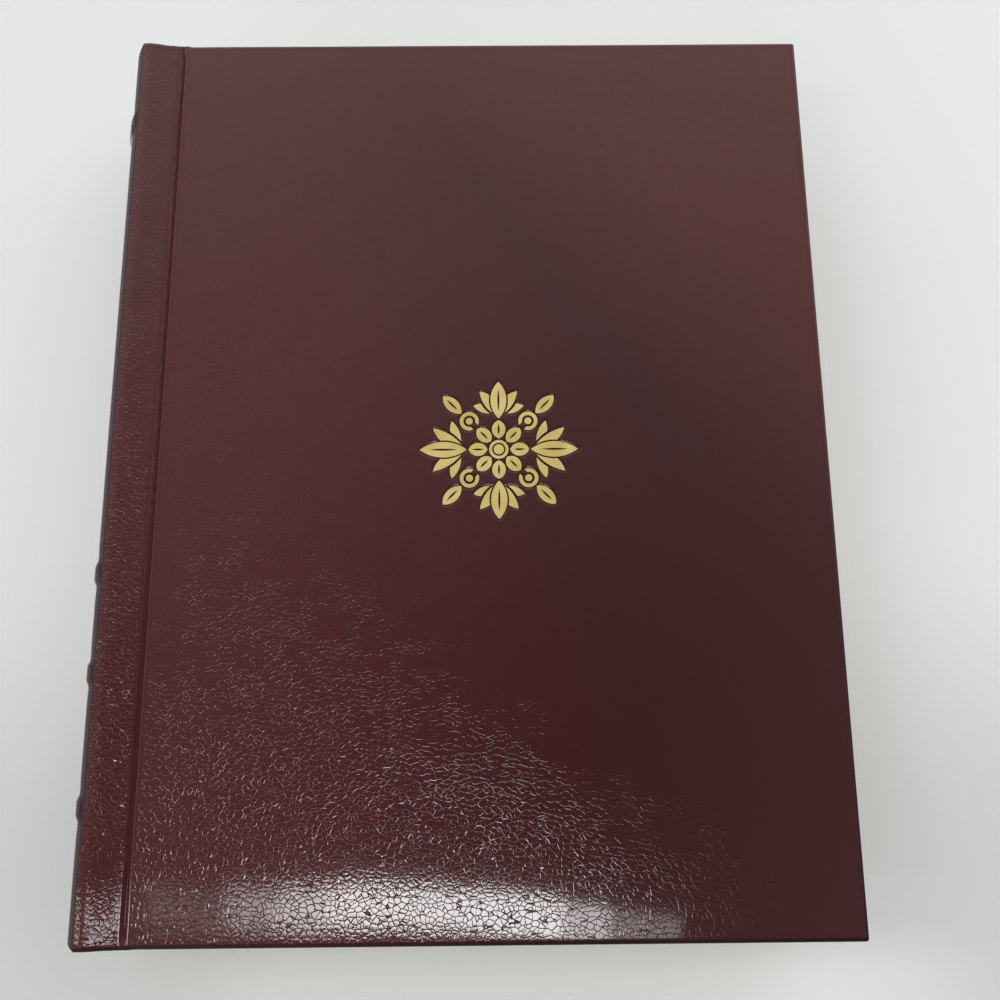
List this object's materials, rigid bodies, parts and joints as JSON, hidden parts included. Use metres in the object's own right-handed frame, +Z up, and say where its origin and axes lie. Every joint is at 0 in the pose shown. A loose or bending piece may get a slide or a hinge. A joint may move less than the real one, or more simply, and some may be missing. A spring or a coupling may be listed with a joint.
{
  "type": "antique leather book",
  "caption": "Full-leather bound book with a rounded spine, raised bands and a gilt stamp; both covers swing open on the leather of their grooves.",
  "frame": {"origin": "on the table under the middle of the closed book's box, book lying on its back cover", "axes": "+Z up out of the front cover, +Y towards the head, the spine towards -X, the fore-edge towards +X"},
  "size_m": [0.2306, 0.286, 0.0524],
  "materials": {
    "burgundy_leather": "polished, creased grain",
    "gold_foil": "stamped gold leaf",
    "page_paper": "cut and pressed",
    "end_paper": "matt",
    "lining_paper": "matt",
    "board_card": "matt",
    "open_cloth": "open weave",
    "band_silk": "sewn silk"
  },
  "bodies": {
    "block": {"text_block": "page_paper", "spine_leather": "burgundy_leather", "spine_inlay": "board_card", "raised_band_1": "board_card", "raised_band_2": "board_card", "raised_band_3": "board_card", "raised_band_4": "board_card", "spine_cloth": "open_cloth", "spine_lining": "lining_paper", "head_band": "band_silk", "tail_band": "band_silk", "front_flyleaf": "end_paper", "back_flyleaf": "end_paper"},
    "front_cover": {"front_cover_leather": "burgundy_leather", "front_board": "board_card", "gilt_ornament": "gold_foil", "front_cloth_flap": "open_cloth", "front_pastedown": "end_paper"},
    "back_cover": {"back_cover_leather": "burgundy_leather", "back_board": "board_card", "back_cloth_flap": "open_cloth", "back_pastedown": "end_paper"}
  },
  "joints": [
    {"name": "front_joint", "type": "hinge", "parent": "block", "child": "front_cover", "pos_m": [-0.0927, 0, 0.0509], "axis": [0, -1, 0], "range_deg": [0, 170]},
    {"name": "back_joint", "type": "hinge", "parent": "block", "child": "back_cover", "pos_m": [-0.0927, 0, 0], "axis": [0, 1, 0], "range_deg": [0, 170]}
  ]
}
